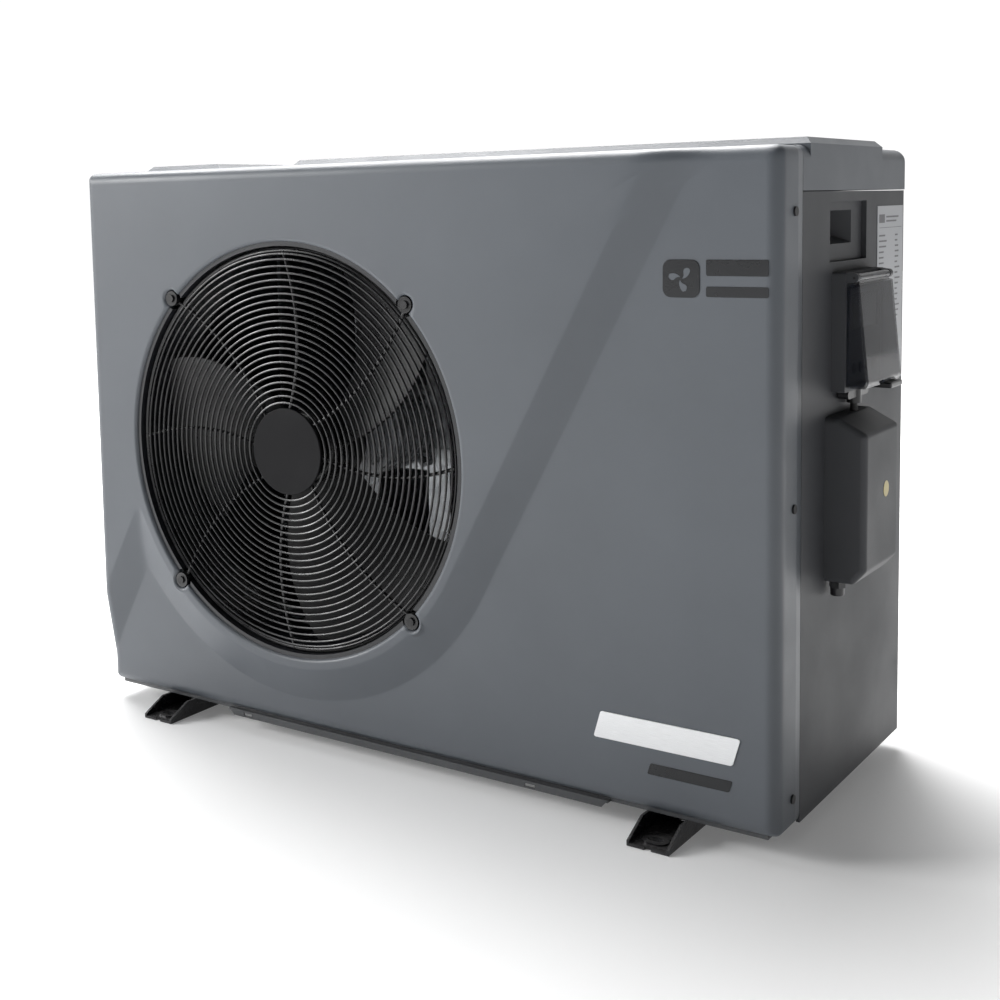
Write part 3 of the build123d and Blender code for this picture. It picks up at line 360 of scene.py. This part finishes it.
def paint(piece, finish):
    piece.data.materials.clear()
    piece.data.materials.append(finish)


# ---- mesh helpers ----
def mesh_piece(name, points, faces, finish, body="cabinet", smooth=True):
    """New piece from points and faces, riding on a body."""
    mesh = bpy.data.meshes.new(name)
    mesh.from_pydata([tuple(p) for p in points], [], faces)
    mesh.validate()
    mesh.polygons.foreach_set("use_smooth", [smooth] * len(mesh.polygons))
    piece = bpy.data.objects.new(name, mesh)
    bpy.context.scene.collection.objects.link(piece)
    paint(piece, finish)
    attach(piece, body)
    return piece


def soften(piece, width, segments=3, angle=35):
    """Round the sharp edges of a piece."""
    bevel = piece.modifiers.new("soft_edges", "BEVEL")
    bevel.width = width
    bevel.segments = segments
    bevel.angle_limit = math.radians(angle)
    bevel.harden_normals = True
    return piece


def grid_faces(rings, around, closed=True):
    """Quads between successive rings of the same number of points."""
    faces = []
    count = around if closed else around - 1
    for k in range(rings - 1):
        for i in range(count):
            j = (i + 1) % around
            faces.append((k * around + i, k * around + j, (k + 1) * around + j, (k + 1) * around + i))
    return faces


def slab(name, outline, origin, across, up, out, thickness, finish):
    """Plate with a 2D outline, standing on the plane through origin that across and up span."""
    base = [origin + across * u + up * v for u, v in outline]
    count = len(base)
    points = base + [p + out * thickness for p in base]
    faces = [tuple(reversed(range(count))), tuple(range(count, 2 * count))]
    for i in range(count):
        j = (i + 1) % count
        faces.append((i, j, count + j, count + i))
    return mesh_piece(name, points, faces, finish, smooth=False)


def rounded_outline(width, height, radius, lean=0.0, steps=6):
    """Rounded rectangle centred on nothing: lower left at the origin, its top pushed right by lean."""
    corners = (
        (width - radius, radius, -90),
        (width - radius, height - radius, 0),
        (radius, height - radius, 90),
        (radius, radius, 180),
    )
    outline = []
    for cx, cy, start in corners:
        for k in range(steps + 1):
            a = math.radians(start + 90 * k / steps)
            x, y = cx + radius * math.cos(a), cy + radius * math.sin(a)
            outline.append((x + lean * y / height, y))
    return outline


# ---- front panel ----
EYE_RADIUS = 272 * MM
EYE_NOTCH = 11 * MM
OPENING = 268 * MM
FIELD_RADIUS = 281 * MM
BEVEL_WIDTH = 44 * MM
BEVEL_SOFTNESS = 1.6 * MM
LEFT_CORNER = 195 * MM
SLANT = math.radians(61.7)
CORNER_RADIUS = 10 * MM
EDGE_ROUND = 15 * MM
LIP_ROUND = 5 * MM
FACE_RINGS = 70


def field_depth(x, z):
    """How far the face lies behind the raised field at (x, z): 0 on the field, RELIEF beyond its bevel."""
    dx, dz = x - FAN.x, z - FAN.z
    along = dx * math.cos(SLANT) + dz * math.sin(SLANT)
    across = dx * math.sin(SLANT) - dz * math.cos(SLANT)
    right = np.where(along > 0, across, np.hypot(dx, dz)) - FIELD_RADIUS
    left = across + LEFT_CORNER
    blend = 12 * MM
    distance = (right + left - np.hypot(right - left, blend)) / 2
    ramp = np.hypot(distance, BEVEL_SOFTNESS) - np.hypot(distance - BEVEL_WIDTH, BEVEL_SOFTNESS)
    return RELIEF * (ramp + BEVEL_WIDTH) / (2 * BEVEL_WIDTH)


def border_distance(x, z, inset):
    """Signed distance to the panel's rounded outline drawn in by inset; negative inside."""
    radius = max(CORNER_RADIUS - inset, 1 * MM)
    half_x = (PANEL_X[1] - PANEL_X[0]) / 2 - inset - radius
    half_z = (PANEL_Z[1] - PANEL_Z[0]) / 2 - inset - radius
    qx = np.abs(x - sum(PANEL_X) / 2) - half_x
    qz = np.abs(z - sum(PANEL_Z) / 2) - half_z
    outside = np.hypot(np.maximum(qx, 0), np.maximum(qz, 0))
    return outside + np.minimum(np.maximum(qx, qz), 0) - radius


def border_reach(angles, inset):
    """Distance from the fan's axis to the outline drawn in by inset, along each angle."""
    low, high = np.zeros_like(angles), np.full_like(angles, 2.0)
    for _ in range(40):
        mid = (low + high) / 2
        inside = border_distance(FAN.x + mid * np.cos(angles), FAN.z + mid * np.sin(angles), inset) < 0
        low, high = np.where(inside, mid, low), np.where(inside, high, mid)
    return low


def opening_reach(angles, grow=0.0):
    """Radius of the fan opening with its four screw-eye notches."""
    reach = np.full_like(angles, OPENING + grow)
    for eye in np.radians((45, 135, 225, 315)):
        off = np.arctan2(np.sin(angles - eye), np.cos(angles - eye))
        room = (EYE_NOTCH + grow) ** 2 - (EYE_RADIUS * np.sin(off)) ** 2
        notch = EYE_RADIUS * np.cos(off) + np.sqrt(np.maximum(room, 0))
        reach = np.where((room > 0) & (np.abs(off) < 0.2), np.maximum(reach, notch), reach)
    return reach


def panel_angles():
    """Rays round the fan's axis: even, and closer at the notches and at the panel's corners."""
    angles = set(np.round(np.arange(0, 360, 1.0), 3))
    for eye in (45, 135, 225, 315):
        angles |= set(np.round(np.arange(eye - 3, eye + 3, 0.25), 3))
    for x in PANEL_X:
        for z in PANEL_Z:
            corner = math.degrees(math.atan2(z - FAN.z, x - FAN.x)) % 360
            angles |= set(np.round(np.arange(corner - 2, corner + 2, 0.4), 3))
    return np.radians(sorted(angles))


def packed_reaches(start, stop, cos, sin, count):
    """Ring radii between start and stop along every ray, packed where the face bends."""
    steps = 900
    share = np.linspace(0, 1, steps)[:, None]
    reach = start + (stop - start) * share
    depth = field_depth(FAN.x + reach * cos, FAN.z + reach * sin)
    step = (stop - start) / steps
    slope = np.gradient(depth, axis=0) / step
    bend = np.abs(np.gradient(slope, axis=0)) / step
    spread = np.ones(31) / 31
    bend = np.apply_along_axis(lambda column: np.convolve(column, spread, "same"), 0, bend)
    weight = 1.0 + 0.5 * bend
    total = np.cumsum(weight, axis=0)
    total = (total - total[0]) / (total[-1] - total[0])
    targets = np.linspace(0, 1, count)
    packed = np.empty((count, reach.shape[1]))
    for i in range(reach.shape[1]):
        packed[:, i] = np.interp(targets, total[:, i], reach[:, i])
    return packed


def front_shell(finish):
    """Front panel as one smooth shell: rounded lip round the fan, bevels, rounded borders, side returns."""
    angles = panel_angles()
    cos, sin = np.cos(angles), np.sin(angles)
    rings = []

    def ring(reach, y):
        rings.append(np.stack([FAN.x + reach * cos, y + 0 * reach, FAN.z + reach * sin], axis=1))

    def face_y(reach):
        return FACE_Y + field_depth(FAN.x + reach * cos, FAN.z + reach * sin)

    inner = opening_reach(angles)
    ring(inner, FACE_Y + 12.5 * MM)
    ring(inner, FACE_Y + LIP_ROUND + 1 * MM)
    for step in range(7):
        turn = math.radians(90 * step / 6)
        ring(opening_reach(angles, LIP_ROUND * (1 - math.cos(turn))), FACE_Y + LIP_ROUND * (1 - math.sin(turn)))
    start = opening_reach(angles, LIP_ROUND + 1 * MM)
    stop = border_reach(angles, EDGE_ROUND + 1 * MM)
    for reach in packed_reaches(start, stop, cos, sin, FACE_RINGS):
        ring(reach, face_y(reach))
    for step in range(11):
        turn = math.radians(90 * step / 10)
        reach = border_reach(angles, EDGE_ROUND * (1 - math.sin(turn)))
        ring(reach, face_y(reach) + EDGE_ROUND * (1 - math.cos(turn)))
    border = border_reach(angles, 0.0)
    for share in (0.1, 0.4, 0.7, 1.0):
        begin = face_y(border) + EDGE_ROUND
        ring(border, begin + (PANEL_Y[1] - begin) * share)
    points = np.concatenate(rings)
    piece = mesh_piece("front_shell", points, grid_faces(len(rings), len(angles)), finish)
    wall = piece.modifiers.new("wall", "SOLIDIFY")
    wall.thickness = 3 * MM
    wall.offset = 1.0
    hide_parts("front_panel")
    return piece


# ---- coil ----
def coil_fins(finish):
    """Thin corrugated fins side by side, in the space of the fin pack."""
    low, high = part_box("evaporator_fins")
    pitch, gauge, waves = 2.4 * MM, 0.25 * MM, 8
    steps = waves * 2 + 1
    points, faces = [], []
    count = int((high.x - low.x) / pitch)
    for i in range(count):
        x = low.x + i * pitch
        first = len(points)
        for side in (0, gauge):
            for k in range(steps):
                y = low.y + (high.y - low.y) * k / (steps - 1)
                ripple = 0.35 * MM * (k % 2)
                points += [(x + ripple + side, y, low.z), (x + ripple + side, y, high.z)]
        half = 2 * steps
        for k in range(steps - 1):
            a, b = first + 2 * k, first + 2 * k + 2
            faces.append((a, a + 1, b + 1, b))
            faces.append((half + b, half + b + 1, half + a + 1, half + a))
            faces.append((a, b, half + b, half + a))
            faces.append((a + 1, half + a + 1, half + b + 1, b + 1))
        for k in (0, steps - 1):
            a = first + 2 * k
            faces.append((a, half + a, half + a + 1, a + 1) if k == 0 else (a, a + 1, half + a + 1, half + a))
    piece = mesh_piece("coil_fins", points, faces, finish, smooth=False)
    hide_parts("evaporator_fins")
    return piece


# ---- badges and labels ----
def front_badges(finish):
    """Plain dark emblem with two bars, and a plain slanted silver plate with a dark bar under it."""
    across, up, out = Vector((1, 0, 0)), Vector((0, 0, 1)), Vector((0, -1, 0))
    plate_y = FIELD_Y + 0.2 * MM

    def plate(name, x, z, width, height, radius, lean, thickness, kind):
        outline = rounded_outline(width * MM, height * MM, radius * MM, lean * MM)
        origin = Vector((x * MM, plate_y, z * MM))
        piece = slab(name, outline, origin, across, up, out, thickness * MM, finish[kind])
        return soften(piece, 0.3 * MM, 2)

    plate("emblem_plate", 371, 595, 42, 40, 9, 0, 1.0, "badge")
    ring_points, ring_faces = leaf_points(Vector((392 * MM, plate_y - 1.0 * MM, 615 * MM)))
    mesh_piece("emblem_leaves", ring_points, ring_faces, finish["casing"], smooth=False)
    plate("emblem_bar_upper", 420, 618, 68, 17, 2, 0, 0.8, "badge")
    plate("emblem_bar_lower", 420, 596, 68, 11, 2, 0, 0.8, "badge")
    plate("silver_plate", 284, 98, 166, 31, 3, 9, 1.4, "silver")
    plate("dark_plate", 350, 68, 96, 13, 2, 4, 0.8, "badge")


def leaf_points(centre):
    """Three curved leaves round a point, as a plain fan sign."""
    points, faces = [], []
    for blade in range(3):
        base = len(points)
        outline = []
        for k in range(9):
            outline.append((2 + 12 * k / 8, 120 * blade + 5 * k))
        for k in range(8, -1, -1):
            outline.append((2 + 12 * k / 8, 120 * blade + 5 * k + 14 + 34 * math.sin(math.pi * k / 8)))
        for r, a in outline:
            turn = math.radians(a)
            for lift in (0.0, 0.3):
                points.append(centre + Vector((r * math.cos(turn), -lift, r * math.sin(turn))) * MM)
        count = len(outline)
        faces.append(tuple(base + 2 * i + 1 for i in range(count)))
        faces.append(tuple(base + 2 * i for i in reversed(range(count))))
        for i in range(count):
            j = (i + 1) % count
            faces.append((base + 2 * i, base + 2 * j, base + 2 * j + 1, base + 2 * i + 1))
    return points, faces


def label_print(finish):
    """Rows of plain bars that stand for the printed table on the rating label."""
    low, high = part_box("rating_label")
    draw = random.Random(7)
    points, faces = [], []

    def bar(y, z, width, height):
        base = len(points)
        for lift in (0.02 * MM, 0.15 * MM):
            x = high.x + lift
            points.extend([(x, y, z), (x, y + width, z), (x, y + width, z + height), (x, y, z + height)])
        faces.append((base + 4, base + 5, base + 6, base + 7))
        for i in range(4):
            j = (i + 1) % 4
            faces.append((base + i, base + j, base + 4 + j, base + 4 + i))

    margin = 6 * MM
    bar(low.y + margin, high.z - 20 * MM, 20 * MM, 10 * MM)
    bar(low.y + 32 * MM, high.z - 14 * MM, 46 * MM, 2 * MM)
    bar(low.y + 32 * MM, high.z - 19 * MM, 38 * MM, 2 * MM)
    bar(low.y + margin, high.z - 26 * MM, high.y - low.y - 2 * margin, 0.6 * MM)
    z = high.z - 36 * MM
    while z > low.z + 10 * MM:
        bar(low.y + margin, z, draw.uniform(16, 34) * MM, 2 * MM)
        bar(high.y - margin - 24 * MM, z, draw.uniform(8, 20) * MM, 2 * MM)
        z -= 6.5 * MM
    return mesh_piece("label_print", points, faces, finish["print"], smooth=False)


def side_sticker(finish):
    """Small plain amber disc on the terminal box."""
    low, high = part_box("terminal_cover")
    outline = [(9 * MM * math.cos(a), 9 * MM * math.sin(a)) for a in np.linspace(0, 2 * math.pi, 48, False)]
    origin = Vector((high.x, (low.y + high.y) / 2 + 12 * MM, (low.z + high.z) / 2 + 6 * MM))
    across, up, out = Vector((0, 1, 0)), Vector((0, 0, 1)), Vector((1, 0, 0))
    piece = slab("amber_sticker", outline, origin, across, up, out, 0.3 * MM, finish["amber"])
    return soften(piece, 0.1 * MM, 2)


# ---- set ----
BACKDROP_WAY = (-0.585, 0.805, -0.1)


def camera():
    """Camera at the viewing angle of the reference: right and a little above the fan side."""
    azimuth, elevation, roll = (math.radians(v) for v in (36.02, 5.653, -1.24))
    back = Vector((
        math.sin(azimuth) * math.cos(elevation), -math.cos(azimuth) * math.cos(elevation), math.sin(elevation)
    ))
    level = Vector((math.cos(azimuth), math.sin(azimuth), 0))
    above = back.cross(level)
    right = level * math.cos(roll) + above * math.sin(roll)
    up = above * math.cos(roll) - level * math.sin(roll)
    turn = Matrix((right, up, back)).transposed().to_4x4()
    data = bpy.data.cameras.new("camera")
    data.lens = 52.34
    data.shift_x, data.shift_y = 0.1, -0.15
    eye = bpy.data.objects.new("camera", data)
    eye.matrix_world = Matrix.Translation((1.049, -1.6065, 0.697)) @ turn
    bpy.context.scene.collection.objects.link(eye)
    bpy.context.scene.camera = eye


def floor():
    """Plain pale ground with a very soft tone change."""
    n = Nodes("floor_paint")
    tone = n.ramp(n.noise(1.5, 2.0), [(0.3, (0.86, 0.86, 0.86)), (0.7, (0.90, 0.90, 0.90))])
    away = n.add("ShaderNodeVectorMath", operation="LENGTH")
    n.link(n.place, away.inputs[0])
    glow = n.span(away.outputs["Value"], 0.15, 1.0, 1.0, 3.5)
    n.set(Base_Color=tone, Emission_Color=tone, Emission_Strength=glow, Roughness=0.7)
    size = 12.0
    mesh = bpy.data.meshes.new("floor")
    mesh.from_pydata([(-size, -size, 0), (size, -size, 0), (size, size, 0), (-size, size, 0)], [], [(0, 1, 2, 3)])
    ground = bpy.data.objects.new("floor", mesh)
    ground.location.z = -0.5 * MM
    mesh.materials.append(n.material)
    bpy.context.scene.collection.objects.link(ground)


def softbox(name, place, target, size, power):
    data = bpy.data.lights.new(name, "AREA")
    data.shape = "RECTANGLE"
    data.size, data.size_y = size
    data.energy = power
    light = bpy.data.objects.new(name, data)
    light.location = place
    light.rotation_euler = (Vector(target) - Vector(place)).to_track_quat("-Z", "Y").to_euler()
    bpy.context.scene.collection.objects.link(light)


def studio_world():
    """Soft surroundings: a bright backdrop behind the unit, dim elsewhere."""
    world = bpy.data.worlds.new("studio")
    world.use_nodes = True
    tree = world.node_tree
    place = tree.nodes.new("ShaderNodeTexCoord")
    toward = tree.nodes.new("ShaderNodeVectorMath")
    toward.operation = "DOT_PRODUCT"
    toward.inputs[1].default_value = BACKDROP_WAY
    tree.links.new(place.outputs["Generated"], toward.inputs[0])
    fade = tree.nodes.new("ShaderNodeMapRange")
    fade.interpolation_type = "SMOOTHSTEP"
    fade.inputs["From Min"].default_value = 0.35
    fade.inputs["From Max"].default_value = 0.80
    fade.inputs["To Min"].default_value = 0.10
    fade.inputs["To Max"].default_value = 1.05
    tree.links.new(toward.outputs["Value"], fade.inputs["Value"])
    background = tree.nodes["Background"]
    background.inputs["Color"].default_value = (1.0, 1.0, 1.0, 1.0)
    tree.links.new(fade.outputs["Result"], background.inputs["Strength"])
    bpy.context.scene.world = world


def lights():
    """Key from far left, a large box overhead towards the back left."""
    studio_world()
    centre = (0.0, 0.0, 0.4)
    softbox("key", (-7.0, -4.4, 3.3), centre, (3.4, 3.4), 640)
    softbox("top", (-1.3, 1.1, 3.2), centre, (3.2, 2.4), 300)
    bpy.context.scene.view_settings.view_transform = "Standard"


def dress(finish):
    """Every shown CAD node gets its finish."""
    for node, kind in FINISH_OF_NODE.items():
        paint(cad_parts[node], finish[kind])


def main():
    finish = finishes()
    dress(finish)
    front_shell(finish["casing"])
    coil_fins(finish["fins"])
    front_badges(finish)
    label_print(finish)
    side_sticker(finish)
    camera()
    floor()
    lights()


main()
